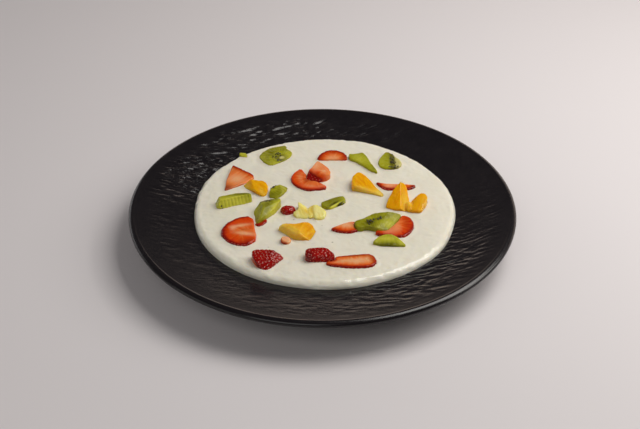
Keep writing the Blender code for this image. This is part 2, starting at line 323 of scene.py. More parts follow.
def read_points(mesh, what):
    found = np.empty(len(mesh.vertices) * 3, np.float32)
    mesh.vertices.foreach_get(what, found)
    return found.reshape(-1, 3).astype(float)


def shell_of(mesh):
    """Every point of a mesh, and the direction in which the surface faces there."""
    return read_points(mesh, "co"), read_points(mesh, "normal")


def move_points(mesh, points):
    mesh.vertices.foreach_set("co", points.astype(np.float32).ravel())
    mesh.update()


def lift_skin(mesh, points, normals, lift):
    """Move each point along its normal, by a lift in millimetres."""
    points += normals * (lift * MM)[:, None]
    move_points(mesh, points)


def write_fields(mesh, **fields):
    """Keep values on the points, for the materials to read by name."""
    for name, values in fields.items():
        layer = mesh.attributes.new(name, "FLOAT", "POINT")
        layer.data.foreach_set("value", np.asarray(values, np.float32))


def rough(points, sizes, seed):
    """Smooth noise at each point; the bumps have one size in millimetres, or three."""
    steps = points / (np.array(sizes) * MM)
    return np.array([noise.noise((x + seed, y - seed, z + 7.3)) for x, y, z in steps])


def gathered(nodes):
    """The plain nodes' meshes together."""
    bm = bmesh.new()
    for node in nodes:
        bm.from_mesh(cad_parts[node].data)
    return bm


def copied(nodes):
    """A merged copy of the plain nodes' meshes, ready to be reworked."""
    bm = gathered(nodes)
    bmesh.ops.remove_doubles(bm, verts=bm.verts, dist=0.004 * MM)
    return bm


def surface_tree(bm):
    """A surface that can be asked for its nearest point; the bmesh is used up."""
    tree = BVHTree.FromBMesh(bm)
    bm.free()
    return tree


def smoothstep(low, high, value):
    share = np.clip((value - low) / (high - low), 0, 1)
    return share * share * (3 - 2 * share)


# %% [markdown]
# The plate and the pudding are both round, so half of the section is drawn as a line
# and spun. A spin slows down as its mesh grows. So one slice is spun in fine steps, and
# a second spin repeats the whole slice round the circle.

# %% Turning a line into a round body
SLICES = 24


def turned(line, steps):
    """Spin a line of (radius, height) in millimetres round Z into a closed body."""
    bm = bmesh.new()
    points = [bm.verts.new((radius * MM, 0, height * MM)) for radius, height in line]
    for first, second in zip(points, points[1:]):
        bm.edges.new((first, second))
    slice_angle = math.tau / SLICES
    bmesh.ops.spin(bm, geom=bm.verts[:] + bm.edges[:], axis=(0, 0, 1), cent=(0, 0, 0),
                   angle=slice_angle, steps=steps // SLICES)
    bmesh.ops.spin(bm, geom=bm.verts[:] + bm.edges[:] + bm.faces[:], axis=(0, 0, 1),
                   cent=(0, 0, 0), angle=math.tau - slice_angle, steps=SLICES - 1,
                   use_duplicate=True)
    bmesh.ops.remove_doubles(bm, verts=bm.verts, dist=0.002 * MM)
    bmesh.ops.recalc_face_normals(bm, faces=bm.faces)
    return bm


# %% [markdown]
# ## The plate
# The real plate is stoneware pressed with a slate relief: long, broken ridges a few
# millimetres apart, under a thin black glaze that shines only on their crests. The
# edge is left smooth. A relief that deep has to be in the mesh, as the light rakes
# over it. So half of the plate's section is drawn once and spun round, and each point of
# its upper face is then lifted by a stretched noise. The finest grain is only a bump.

# %% The plate's section
PLATE_RADIUS = plain_high.x / MM
PLATE_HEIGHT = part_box("plate")[1].z / MM
WELL_DEPTH = 13.4
RIM_LIP = 4.4
PLATE_WALL = 5.0
LIP_BREADTH = 3.3  # from the crest out to the edge: the lip is flatter than it is round
RIM_CREST = PLATE_RADIUS - LIP_BREADTH
WELL_FLOOR = PLATE_HEIGHT - WELL_DEPTH
BOWL = WELL_DEPTH / RIM_CREST**2
UNDER_CREAM = (0, 20, 40, 60, 74)  # rings that the pudding hides
UNDER_PLATE = (128, 120, 108, 96, 84, 74, 66)
RELIEF_FROM = 84
RELIEF_STEP = 0.8  # between rings where the relief shows
PLATE_TURNS = 840


def well_height(radius):
    return WELL_FLOOR + BOWL * radius * radius


def lip_section():
    """The rounded edge, from the well's side over the crest to the underside."""
    half = RIM_LIP / 2
    turns = [math.radians(96 - 13.4 * step) for step in range(15)]
    return [(RIM_CREST + LIP_BREADTH * math.cos(turn),
             PLATE_HEIGHT - half + half * math.sin(turn)) for turn in turns]


FOOT_RADIUS = 62.0
FOOT_WIDTH = 5.0
FOOT_ROUNDING = ((0, 1.4), (0.2, 0.6), (0.8, 0.1), (1.4, 0))  # (inwards, height)


def foot_section():
    """The ring that the plate stands on, and the underside within it."""
    outer, inner = FOOT_RADIUS, FOOT_RADIUS - FOOT_WIDTH
    belly = well_height(outer) - PLATE_WALL
    middle = WELL_FLOOR - PLATE_WALL
    line = [(outer + 1.6, belly + 0.2), (outer + 0.6, belly - 0.9), (outer + 0.1, belly - 2.6)]
    line += [(outer - inwards, height) for inwards, height in FOOT_ROUNDING]
    line += [(inner + inwards, height) for inwards, height in reversed(FOOT_ROUNDING)]
    return line + [(inner - 0.1, belly - 3.2), (inner - 0.6, belly - 1.6),
                   (inner - 1.8, belly - 0.7), (40, middle + 0.9), (20, middle + 0.2),
                   (0, middle)]


def plate_section():
    """Half of the section, from the middle of the well, over the rim, to the foot."""
    shown = np.arange(RELIEF_FROM, RIM_CREST - 0.4, RELIEF_STEP)
    top = [(radius, well_height(radius)) for radius in (*UNDER_CREAM, *shown)]
    under = [(radius, well_height(radius) - PLATE_WALL) for radius in UNDER_PLATE]
    return top + lip_section() + under + foot_section()


# %% The slate relief
RELIEF_DEPTH = 0.5
SMOOTH_FROM = 115.0  # the relief fades out from here to the lip
BARE_FROM = 80.0  # further in, the pudding hides the plate
GRAIN_RISE_RIGHT = 0.0019  # how fast the ridges turn upwards on the right
GRAIN_DROP_LEFT = 0.0006
GRAIN_RISE_BACK = 0.42  # the slope of the ridges at the back of the rim
# the relief was pressed by hand: (compass angle, how deep it is there)
PRESSED = ((-180, 0.4), (-160, 0.15), (-120, 0.15), (-90, 0.26), (-65, 0.5), (-45, 0.8),
           (-25, 0.6), (0, 0.25), (40, 0.25), (65, 0.45), (90, 0.75), (112, 1.35), (155, 1.5),
           (170, 1.0), (180, 0.4))


def ridges(points, sizes, seed):
    """Sharp crests, which run where the noise passes through zero."""
    return 0.5 - 2.2 * np.abs(rough(points, sizes, seed))


def slate_height(points):
    """The ridges' height in millimetres over the smooth well."""
    x, y = points[:, 0] / MM, points[:, 1] / MM
    lean = np.where(x > 0, GRAIN_RISE_RIGHT, GRAIN_DROP_LEFT) * x * x
    lean += GRAIN_RISE_BACK * x * smoothstep(15, 95, y)
    warp = 1.6 * rough(points, (30, 24, 50), 3.0)
    laid = np.column_stack([points[:, 0], (y - lean + warp) * MM, np.zeros(len(points))])
    crests = ridges(laid, (12, 3.3, 9), 21.0) + 0.5 * ridges(laid, (6.5, 1.9, 9), 31.0)
    chips = rough(laid, (4.5, 2.2, 9), 11.0)
    patches = 0.65 + 0.7 * np.clip(rough(points, (30, 24, 60), 41.0) + 0.4, 0, 1)
    pressed = np.interp(np.degrees(np.arctan2(y, x)), *zip(*PRESSED))
    return RELIEF_DEPTH * pressed * patches * (crests + 0.35 * chips)


def make_plate(material):
    plate = piece_from(turned(plate_section(), PLATE_TURNS), "slate_relief_plate", material,
                       ("plate",))
    mesh = plate.data
    points = read_points(mesh, "co")
    radius = np.hypot(points[:, 0], points[:, 1]) / MM
    upper = np.abs(points[:, 2] / MM - well_height(radius)) < 0.2
    inside = 1 - smoothstep(SMOOTH_FROM, RIM_CREST - 1.0, radius)
    share = np.where(upper & (radius > BARE_FROM), inside, 0.0)
    relief = slate_height(points) * share
    points[:, 2] += relief * MM
    move_points(mesh, points)
    write_fields(mesh, relief=np.where(share > 0, relief, 0.0), relief_share=share)
    print("plate:", len(mesh.polygons), "faces, relief",
          round(float(relief.min()), 2), "to", round(float(relief.max()), 2), "mm")


# %% [markdown]
# The glaze pools in the hollows and thins on the crests, where it is a little lighter
# and glossier. The relief was written on the points, so here it becomes a mask of the
# crests, which drives colour and roughness together.

# %% The black glaze


def glaze_material():
    material, tree, shader = new_material("black_glaze")
    crest = spread(field(tree, "relief"), -0.05, 0.3)
    where = place(tree)
    mottle = cloud(where, 90, 4, 0.6)
    grain = cloud(stretched(where, (240, 800, 900)), 1.0, 3, 0.6)
    dark = blend(mottle, paint(13, 9, 13), paint(22, 17, 21))
    worn = times(crest, spread(mottle, 0.3, 0.65))
    matt = maths("MULTIPLY_ADD", grain, 0.14, 0.16)
    height = times(grain, field(tree, "relief_share"))
    dress(shader, Base_Color=blend(worn, dark, paint(36, 32, 33)),
          Roughness=maths("MULTIPLY_ADD", crest, -0.07, matt),
          Normal=bump(height, 0.15 * MM, 0.8), Specular_IOR_Level=0.42)
    return material


make_plate(glaze_material())

# %% [markdown]
# ## The pudding
# Cream with rice in it spreads into a round pool with a soft, thick edge. Most grains
# lie under the skin, and show only as low, long bumps. A few dark specks are vanilla.
# The outline is read from the plain model, so that the two always agree. A line from
# the middle to the edge is spun round; then every point of the top is lifted by the
# grains near it, and by the fruit, because cream climbs a little on whatever it wets.

# %% The pudding's outline, read from the plain model
OUTLINE_BINS = 60


def pudding_outline():
    """(middle, angles, radii) of the pool, in millimetres."""
    points = read_points(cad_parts["pudding"].data, "co") / MM
    middle = (points.min(0) + points.max(0))[:2] / 2
    away = points[:, :2] - middle
    radius = np.hypot(away[:, 0], away[:, 1])
    angle = np.degrees(np.arctan2(away[:, 1], away[:, 0])) % 360
    bins = np.round(angle / 360 * OUTLINE_BINS).astype(int) % OUTLINE_BINS
    widest = np.array([radius[bins == i].max() for i in range(OUTLINE_BINS)])
    return middle, np.arange(OUTLINE_BINS) * 360 / OUTLINE_BINS, widest


POOL_MIDDLE, POOL_ANGLES, POOL_RADII = pudding_outline()
print("pool: radius", round(POOL_RADII.min(), 1), "to", round(POOL_RADII.max(), 1), "mm")


def pool_radius(degrees):
    return np.interp(degrees % 360, POOL_ANGLES, POOL_RADII, period=360)


# %% The fruit as one surface, to ask how far away it is
FRUIT_NODES = [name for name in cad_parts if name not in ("plate", "pudding")]
FRUIT_SURFACE = surface_tree(gathered(FRUIT_NODES))
print("fruit:", len(FRUIT_NODES), "plain pieces")

# %% Rice grains under the skin
GRAIN_COUNT = 900
GRAIN_LENGTH = 3.1  # half of a swollen grain
GRAIN_WIDTH = 1.25
GRAIN_LIFT = 0.22
GRAINS_WITHIN = 90  # of the plate's middle
CELL = 8  # the points are sorted into square cells, to find those near a grain


def along_across(x, y, turn):
    """Flat places measured along and across a direction, turned in radians from X."""
    return x * math.cos(turn) + y * math.sin(turn), y * math.cos(turn) - x * math.sin(turn)


def rice_relief(points):
    """Height in millimetres that the buried grains give the skin."""
    rng = np.random.default_rng(12)
    x, y = points[:, 0] / MM, points[:, 1] / MM
    height = np.zeros(len(points))
    cells = {}
    for index, key in enumerate(zip((x // CELL).astype(int), (y // CELL).astype(int))):
        cells.setdefault(key, []).append(index)
    for _ in range(GRAIN_COUNT):
        radius = GRAINS_WITHIN * math.sqrt(rng.random())
        angle, turn = rng.random(2) * math.tau
        cx, cy = radius * math.cos(angle), radius * math.sin(angle)
        size, lift = rng.uniform(0.7, 1.15), GRAIN_LIFT * rng.uniform(0.15, 1.0)
        near = []
        for i in (-1, 0, 1):
            for j in (-1, 0, 1):
                near += cells.get((int(cx // CELL) + i, int(cy // CELL) + j), [])
        if not near:
            continue
        along, across = along_across(x[near] - cx, y[near] - cy, turn)
        reach = (along / (GRAIN_LENGTH * size)) ** 2 + (across / (GRAIN_WIDTH * size)) ** 2
        height[near] = np.maximum(height[near], lift * np.exp(-reach * 1.1))
    return height


# %% Shape of the pool
PUDDING_TURNS = 528
PUDDING_TOP = 23.4
PUDDING_EDGE = 4.4  # radius of the rounded edge
POOL_RADIUS = 92.0  # of the round that is spun, before it is drawn out to the outline
POOL_RINGS = 108
POOL_UNDER = (86, 64, 32, 0)
POOL_GAP = 0.1  # between the pudding and the plate
WAVE, RIPPLE = 0.5, 0.28  # depth of the wide and of the narrower waves in the skin
LUMP, EDGE_LUMP = 0.06, 0.2  # height of the small lumps, and what the edge adds to it
FAR = 6 * MM  # fruit further away than this doesn't move the cream
CLIMB = 0.55  # how far cream climbs on fruit
MOAT = 0.08  # and how deep it sinks a little further out


def pudding_section():
    """(radius, height) from the middle to the edge and back underneath."""
    flat = POOL_RADIUS - PUDDING_EDGE
    line = [(radius, PUDDING_TOP) for radius in np.linspace(0, flat, POOL_RINGS)]
    for turn in np.linspace(8, 104, 15):
        lean = math.radians(turn)
        line.append((flat + PUDDING_EDGE * math.sin(lean),
                     PUDDING_TOP - PUDDING_EDGE * (1 - math.cos(lean))))
    return line + [(radius, well_height(radius) + POOL_GAP) for radius in POOL_UNDER]


def draw_out(points):
    """Move the round pool's points out to the real outline."""
    stretch = pool_radius(np.degrees(np.arctan2(points[:, 1], points[:, 0]))) / POOL_RADIUS
    for axis in (0, 1):
        points[:, axis] = points[:, axis] * stretch + POOL_MIDDLE[axis] * MM


def skin_lift(points, from_middle):
    """How far the skin is lifted by waves, grains and lumps, in millimetres."""
    lumps = rough(points, 3.4, 15.0) + 0.5 * rough(points, 1.7, 25.0)
    lift = WAVE * rough(points, (22, 22, 60), 5.0) + RIPPLE * rough(points, (8, 8, 60), 9.0)
    edge = smoothstep(72, 88, from_middle)
    return lift + rice_relief(points) + (LUMP + EDGE_LUMP * edge) * lumps


def make_pudding(material):
    pudding = piece_from(turned(pudding_section(), PUDDING_TURNS), "rice_pudding", material,
                         ("pudding",))
    mesh = pudding.data
    points = read_points(mesh, "co")
    draw_out(points)
    move_points(mesh, points)
    normals = read_points(mesh, "normal")
    height = points[:, 2] / MM
    from_middle = np.hypot(points[:, 0], points[:, 1]) / MM
    shown = smoothstep(0.2, 1.6, height - well_height(from_middle)) * (normals[:, 2] > -0.2)
    lift_skin(mesh, points, normals, skin_lift(points, from_middle) * shown)
    gap = np.array([FRUIT_SURFACE.find_nearest(Vector(p), FAR)[3] or FAR
                    for p in points]) / MM
    top = smoothstep(PUDDING_TOP - 4, PUDDING_TOP - 1, height)
    climb = CLIMB * np.exp(-gap) - MOAT * np.exp(-(((gap - 3.4) / 1.8) ** 2))
    points[:, 2] += climb * top * MM
    move_points(mesh, points)
    write_fields(mesh, near_fruit=np.exp(-gap / 1.6) * top)
    print("pudding:", len(mesh.polygons), "faces")


# %% [markdown]
# Cream is white, but light goes a few millimetres into it, so it never looks hard. The
# shader gets some subsurface light for that, a warm off-white, and a thin wet coat.
# The cream is a little warmer and darker just round each piece, most where it meets the fruit.

# %% The cream


def cream_material():
    material, tree, shader = new_material("rice_cream")
    where = place(tree)
    soft = cloud(where, 55, 3, 0.5)
    base = blend(soft, paint(229, 224, 206), paint(238, 234, 219))
    specks = add_node(tree, "ShaderNodeTexVoronoi", {"Vector": where, "Scale": 95},
                      feature="F1")
    rare = spread(cloud(where, 140, 1), 0.60, 0.66)
    dot = spread(specks.outputs["Distance"], 0.10, 0.04)
    speck = times(dot, rare, clamp=True)
    base = blend(times(speck, 0.75), base, paint(96, 84, 62))
    # warmer and a little darker towards each fruit
    warm_near_fruit = times(field(tree, "near_fruit"), 0.22)
    dress(shader, Base_Color=blend(warm_near_fruit, base, paint(226, 190, 150)),
          Roughness=maths("MULTIPLY_ADD", soft, 0.2, 0.3),
          Normal=bump(cloud(where, 420, 3, 0.55), 0.14 * MM, 0.4),
          Subsurface_Weight=0.35, Subsurface_Scale=0.004,
          Subsurface_Radius=(1.0, 0.8, 0.5), Coat_Weight=0.5, Coat_Roughness=0.1)
    return material


make_pudding(cream_material())

# %% [markdown]
# ## Reworking a fruit piece
# The plain fruit pieces are faceted blocks. Each one is copied, turned into a fine even
# mesh of voxels, and smoothed, as knife edges on wet fruit are never sharp. Then the
# plain block is asked, for each fine point, which facet it came from: the direction
# of that facet says whether this is skin or cut flesh, cleanly along the old edges.

# %% Fine copies
VOXEL = 0.42  # millimetres
SMOOTHINGS = 3


def add_bridge(bm, centre, radii):
    """A soft lump of flesh that joins two blocks, in millimetres."""
    lump = bmesh.ops.create_icosphere(bm, subdivisions=3, radius=1.0)["verts"]
    bmesh.ops.scale(bm, vec=[radius * MM for radius in radii], verts=lump)
    bmesh.ops.translate(bm, vec=[side * MM for side in centre], verts=lump)


def fine_copy(nodes, name, material, bridge=None):
    """Make a piece with a smooth, even mesh from one or more plain nodes; gives the mesh."""
    bm = copied(nodes)
    if bridge:
        add_bridge(bm, *bridge)
    piece = piece_from(bm, "fresh_" + name, material, nodes)
    remesh = piece.modifiers.new("even", "REMESH")
    remesh.mode = "VOXEL"
    remesh.voxel_size = VOXEL * MM
    evaluated = piece.evaluated_get(bpy.context.evaluated_depsgraph_get())
    bm = bmesh.new()
    bm.from_mesh(evaluated.to_mesh())
    evaluated.to_mesh_clear()
    piece.modifiers.remove(remesh)
    for _ in range(SMOOTHINGS):
        bmesh.ops.smooth_vert(bm, verts=bm.verts, factor=0.5, use_axis_x=True,
                              use_axis_y=True, use_axis_z=True)
    mesh = piece.data
    bm.to_mesh(mesh)
    bm.free()
    mesh.shade_smooth()
    print(piece.name + ":", len(mesh.polygons), "faces")
    return mesh


def facet_normals(nodes, points):
    """For each fine point, the direction of the plain facet nearest to it."""
    tree = surface_tree(copied(nodes))
    return np.array([tuple(tree.find_nearest(Vector(point))[1]) for point in points])


def facing(normals, azimuth, elevation, reach):
    """True where a facet looks within reach of a direction, in degrees; azimuth 0 is +X."""
    around, up, near = np.radians((azimuth, elevation, reach))
    direction = (math.cos(around) * math.cos(up), math.sin(around) * math.cos(up), math.sin(up))
    return normals @ np.array(direction) > math.cos(near)


def distance_to(points, targets):
    """Millimetres from each point to the nearest target, and that target's index."""
    tree = kdtree.KDTree(len(targets))
    for index, target in enumerate(targets):
        tree.insert(target, index)
    tree.balance()
    found = [tree.find(point) for point in points]
    return np.array([hit[2] for hit in found]) / MM, np.array([hit[1] for hit in found])


def spaced(points, candidates, spacing, rng):
    """Pick candidates in random order, none nearer to another than the spacing."""
    order = list(candidates)
    rng.shuffle(order)
    free = np.ones(len(points), bool)
    taken = []
    for index in order:
        if free[index]:
            taken.append(index)
            free &= np.linalg.norm(points - points[index], axis=1) > spacing * MM
    return taken


# %% [markdown]
# No two pieces of fruit are coloured alike: one is cut through a pale heart, the next
# through ripe flesh. Like a retoucher, the table below lays soft oval touches on a
# piece, each a little paler or deeper than its flesh. Some touches are not the flesh's
# own colour but painted light and shade: paler touches that lift faces turned away from
# the lamps, deeper ones that paint shade or a neighbour's shadow on a side or an edge,
# and one painted highlight. They are all kept as one value on the points, called
# tone, and one node group turns that value into colour for every fruit.

# %% Touches of paler and deeper flesh, and of painted light and shade
# piece: (x, y, half width, half length, turn in degrees, amount from -1, deep, to 1, pale)
TOUCHES_AND_PAINTED_LIGHT = {
    "kiwi_half_round": (
        (-38, 66, 2.6, 5, 0, -0.45), (-32.5, 55.3, 3, 2, 0, -0.3), (-26, 63.5, 3, 5, 0, 0.5),
        (-37.2, 51.5, 5, 3, 0, 0.35), (-44.5, 61, 2.5, 4, 0, 0.25)),
    "kiwi_crumb": ((-59, 64, 6, 6, 0, 0.5),),
    "kiwi_leaf_left": (
        (-36.5, 9, 3, 3, 0, -0.4), (-28, 16, 4, 5, 0, 0.25), (-35.2, 16.6, 1.6, 1.6, 0, -0.9)),
    "kiwi_ribbed_chunk": (
        # The wide pale touch on the front is partly paler flesh, partly painted light on a face
        # turned down, away from the lamps.
        (-61, -3, 16, 5, 14, 0.95), (-57, 4.2, 9, 2.2, 12, -0.75), (-74, -4, 2.5, 5, 0, 0.2)),
    "kiwi_wedge_left": (
        # (-33, -13) is a pale rim pushed paler so that it shows in shade, partly painted light;
        # (-46, -11) is painted light on the left face, which is in shade.
        (-33, -13, 2.4, 9, -31, 1.0), (-42, -19, 1.4, 5, -20, 0.5),
        (-38, -11, 3.5, 6, -31, -0.6), (-46, -11, 2.6, 5, 0, 0.4),
        (-37.5, -4.5, 5, 2, 20, -0.7)),
    "kiwi_leaf_middle": (
        (9.2, -5, 0.6, 5, -48, 1.8), (12.4, -3.2, 0.8, 3, -48, -2.0),
        (14.6, -2.4, 0.6, 4, -48, 1.2), (8.2, -3.8, 0.8, 5, -48, -1.0), (6, 0, 6, 3, 30, -0.35),
        (2.5, -5, 3, 3, 0, 0.1)),
    "kiwi_bent_strip": ((28, 56, 5, 7, 30, 0.5), (22, 61, 3, 3, 0, -0.1)),
    "kiwi_half_cored": (
        (51.4, 55, 1.5, 9, 0, -0.8), (54, 44.5, 4, 1.6, 0, -0.7), (56.5, 54, 1.6, 8, 0, 0.15),
        (44.3, 52, 2.5, 5, 0, 0.2)),
    "kiwi_slab_right": (
        (38, -34, 3, 2.2, 0, 0.5), (45.5, -29.5, 3, 4, -35, 0.45),
        (49.5, -22.5, 2.5, 5, -35, 0.35), (32.5, -29, 3.2, 2.6, 0, -0.95),
        (38.6, -25.2, 3.4, 1.7, 20, -0.9), (29, -32, 6, 4, 0, -0.4)),
    "kiwi_half_moon": (
        # (43.5, -51.8) is painted shade on the front side of the slice.
        (43, -46.2, 8, 2.4, 0, 0.6), (43.5, -51.8, 7, 1.9, 0, -0.7),
        (52.3, -50.3, 2.4, 3, 30, 0.7), (36.2, -49.3, 2, 2, 0, 0.3)),
    "strawberry_wedge_left": (
        (-62, 29, 6, 5, 0, 0.7), (-68.5, 17.5, 4.5, 5, 0, -0.75), (-66, 45, 4, 5, 0, -0.5),
        (-57, 37, 3, 9, 40, -0.25), (-58, 21.5, 5, 2, 30, -0.5)),
    "strawberry_slice_big": (
        (-56, -31, 7, 1.6, 12, 0.8), (-60.5, -34, 2.2, 2.2, 0, 0.6),
        (-51.5, -39.8, 7, 1.9, -12, 0.85), (-53, -35.5, 4, 1.5, -4, -0.2),
        (-66.5, -36, 2.4, 12, 0, -0.5), (-50, -48.5, 9, 2.6, 14, -0.5)),
    "strawberry_tip_front": ((-33, -66, 5, 4, 0, -0.2),),
    "strawberry_scrap_left": ((-43, -24, 7, 7, 0, -0.65),),
    # (-27.6, -46) is painted shade on the left edge.
    "strawberry_cube_pale": ((-24.4, -46, 3, 3, 0, 0.5), (-27.6, -46, 1.2, 4, 0, -0.5)),
    "strawberry_crescent": (
        (-15.5, 29, 1.8, 7, 12, 0.25), (-8, 19.4, 5, 1.6, -12, 0.35), (0, 20, 3, 1.6, 12, 0.3),
        # (-10.5, 28) is a painted shadow of strawberry_wedge_back on the crescent's inner side.
        (-10.5, 28, 3, 4, -30, -0.6)),
    "strawberry_wedge_back": ((-4.5, 44, 2.6, 9, -8, 0.45), (1.5, 36, 2, 6, 10, 0.35)),
    "strawberry_half_round": (
        (8, 57.5, 7, 2.6, 0, 0.3), (17.5, 58.5, 3.5, 5, 0, -0.6), (-2, 60, 3, 6, 0, -0.5),
        (8, 66.5, 10, 2.6, 0, -0.4)),
    "strawberry_sliver_right": (
        (48, 21, 5, 3, 0, 0.6), (39.5, 23.5, 2.6, 3, 30, -0.9), (66, 19, 3, 3, 0, -0.9)),
    "strawberry_wedge_middle": ((18, -29, 6, 2.6, 20, 0.5), (8, -34, 3, 2, 0, -0.4)),
    "strawberry_slice_right": (
        (46, -36, 7, 4, 20, 0.4), (51, -32, 3, 5, 0, 0.15), (38, -39.5, 2.4, 2.4, 0, -0.6),
        (58, -27, 3.4, 12, 0, -0.32)),
    "strawberry_chunk_front": ((-9, -67, 3, 5, 0, -0.7),),
    "strawberry_slice_long": (
        (22, -70.5, 6, 2.4, 0, 0.45), (11, -71.5, 5, 1.6, 0, 0.3), (33.5, -68, 3, 5, 0, -0.45),
        (19, -64.6, 15, 1.6, 3, -0.7)),
    # (-43, 12) is a painted highlight; (-54.5, 19) is painted light on the left face, which is
    # turned away from the lamps.
    "orange_chunk_left": ((-43, 12, 1.6, 4, 20, 0.5), (-54.5, 19, 3, 6, 0, 0.6)),
    "orange_chunk_middle": (
        # Both pale touches on the left, (-29, -33) and (-22, -40), are painted light on facets
        # that face down and to the left, away from the lamps.
        (-29, -33, 4, 4, 0, 1.0), (-22, -40, 9, 5, -30, 1.0), (-5, -40, 2, 5, 0, 0.3)),
    # (30, 12.5) is painted light on the front face, which is turned away from the lamps.
    "orange_wedge_right": ((41, 11.5, 3.4, 4, 30, 0.9), (30, 12.5, 9, 2.6, -12, 0.8)),
    "orange_pair_right": (
        (58.2, -2, 2.8, 8, 6, 0.6), (50, -2, 4, 8, -20, -0.3), (71, -4, 2, 7, -10, 0.3)),
    "pineapple_pair": (
        (-11, -14, 2.6, 4, 0, -0.6), (-7.4, -13, 1.6, 8, 0, -0.5), (-3, -14, 3.5, 5, 0, 0.5),
        (-15, -17, 4, 2, 0, 0.3)),
}


def tone_at(points, piece):
    tone = np.zeros(len(points))
    for x, y, half_width, half_length, turn, amount in TOUCHES_AND_PAINTED_LIGHT.get(piece, ()):
        across, along = along_across(points[:, 0] / MM - x, points[:, 1] / MM - y,
                                     math.radians(turn))
        tone += amount * np.exp(-((across / half_width) ** 2 + (along / half_length) ** 2))
    return np.clip(tone, -1, 1)


# %% Node groups that every fruit shares


def new_group(name, inputs, outputs):
    """A shader node group with named sockets; gives its tree, inputs and outputs."""
    group = bpy.data.node_groups.new(name, "ShaderNodeTree")
    for way, sockets in (("INPUT", inputs), ("OUTPUT", outputs)):
        for socket, kind in sockets.items():
            group.interface.new_socket(socket, in_out=way, socket_type="NodeSocket" + kind)
    start = group.nodes.new("NodeGroupInput")
    end = group.nodes.new("NodeGroupOutput")
    return group, start.outputs, end.inputs


def tone_group():
    """Flesh that turns pale or deep with the tone value, which holds painted light and shade as
    well as the flesh's own touches.
    """
    group, given, made = new_group(
        "flesh_tone", {"Flesh": "Color", "Pale": "Color", "Deep": "Color", "Tone_and_light": "Float"},
        {"Colour": "Color"})
    light = times(given["Tone_and_light"], 1.0, clamp=True)
    dark = times(given["Tone_and_light"], -1.0, clamp=True)
    lit = blend(light, given["Flesh"], given["Pale"])
    feed(made["Colour"], blend(dark, lit, given["Deep"]))
    return group


def film_group():
    """The uneven wet film on cut fruit: a mottle mask and a roughness."""
    group, given, made = new_group(
        "wet_film", {"Place": "Vector", "Scale": "Float", "Driest": "Float", "Wettest": "Float"},
        {"Mottle": "Float", "Roughness": "Float"})
    mottle = cloud(given["Place"], given["Scale"], 3.0, 0.6)
    film = spread(mottle, 0.35, 0.65, given["Wettest"], given["Driest"])
    feed(made["Mottle"], mottle)
    feed(made["Roughness"], film)
    return group


FLESH_TONE_AND_LIGHT = tone_group()
WET_FILM = film_group()


def toned(flesh, pale, deep):
    """Flesh with this piece's own touches laid on, painted light and shade among them."""
    tree = flesh.id_data
    values = {"Flesh": flesh, "Pale": pale, "Deep": deep, "Tone_and_light": field(tree, "tone")}
    return add_node(tree, "ShaderNodeGroup", values, node_tree=FLESH_TONE_AND_LIGHT).outputs["Colour"]


def wet_film(tree, scale, driest, wettest):
    values = {"Place": place(tree), "Scale": scale, "Driest": driest, "Wettest": wettest}
    return add_node(tree, "ShaderNodeGroup", values, node_tree=WET_FILM).outputs


def dress_flesh(shader, film, fibre, relief, **looks):
    """Cut flesh: the film's gloss, and a bump of (height, strength) from film and fibre."""
    height = plus(film["Mottle"], fibre)
    dress(shader, Roughness=film["Roughness"], Normal=bump(height, *relief), **looks)


# %% [markdown]
# ## Small grains on the fruit
# Kiwi seeds and strawberry pips are real little bodies. Each kind is one piece: one
# grain is made, and its copies are placed in the same mesh, with few faces each.

# %% Grains scattered over the fruit


class Grains:
    """Many small bodies of one kind, gathered into one mesh."""

    def __init__(self, size, subdivisions):
        self.size = size
        self.bm = bmesh.new()
        self.subdivisions = subdivisions

    def add(self, point, normal, along, scale):
        """Lay one grain at a point, flat against the surface, long side along."""
        up = Vector(normal).normalized()
        side = Vector(along) - up * up.dot(Vector(along))
        if side.length < 1e-6:
            side = up.orthogonal()
        side.normalize()
        other = up.cross(side)
        long, wide, thick = (length * scale * MM / 2 for length in self.size)
        grain = bmesh.ops.create_icosphere(self.bm, subdivisions=self.subdivisions, radius=1)
        for vert in grain["verts"]:
            x, y, z = vert.co
            taper = 1 - 0.28 * x
            vert.co = (Vector(point) + side * x * long + other * y * wide * taper
                       + up * z * thick)

    def finish(self, name, material):
        piece = piece_from(self.bm, name, material)
        print(name + ":", len(piece.data.polygons), "faces")


# (length, width, thickness) in millimetres, and how finely the grain is divided
kiwi_seeds = Grains((2.0, 1.1, 0.7), 2)
strawberry_pips = Grains((1.05, 0.58, 0.4), 1)


def grain_material(name, colour):
    material, tree, shader = new_material(name)
    lighter = tuple(min(1, level * 2.2) for level in colour)
    mottle = cloud(place(tree), 900, 2)
    dress(shader, Base_Color=blend(mottle, colour, lighter), Roughness=0.35,
          Coat_Weight=0.3, Coat_Roughness=0.1)
    return material


# %% [markdown]
# ## Kiwi
# A kiwi slice is read from its middle outwards: a pale core, a ring of black seeds in
# darker flesh, then green flesh with fine pale rays, and a darker edge where the skin
# was peeled off. So each piece is told where the core runs, and every point gets two
# values: how far out it lies, and its angle. The material turns those into colours.

# %% Where each kiwi's core runs
KIWI_PIECES = {
    # node: (a point on the core, the core's direction, the fruit's radius there)
    "kiwi_half_round": ((-30.2, 59.8, 23), (0, 0, 1), 10.5),
    "kiwi_crumb": ((-40, 40, 23), (0, 0, 1), 18.0),
    "kiwi_leaf_left": ((-46, 22, 23), (0, 0, 1), 17.0),
    "kiwi_ribbed_chunk": ((-62, 22, 25), (0.95, 0.3, 0), 20.0),
    "kiwi_wedge_left": ((-30, 10, 29), (0.85, 0.5, 0.05), 19.0),
    "kiwi_leaf_middle": ((25, -8, 25), (0.5, 0.86, 0), 17.0),
    "kiwi_bent_strip": ((18, 46, 23), (0, 0, 1), 20.0),
    "kiwi_half_cored": ((57.0, 50, 24.5), (0, 1, 0), 17.0),
    "kiwi_slab_right": ((38, -42, 23), (0, 0.2, 1), 19.0),
    "kiwi_half_moon": ((45, -30, 23), (0, 0, 1), 22.0),
}
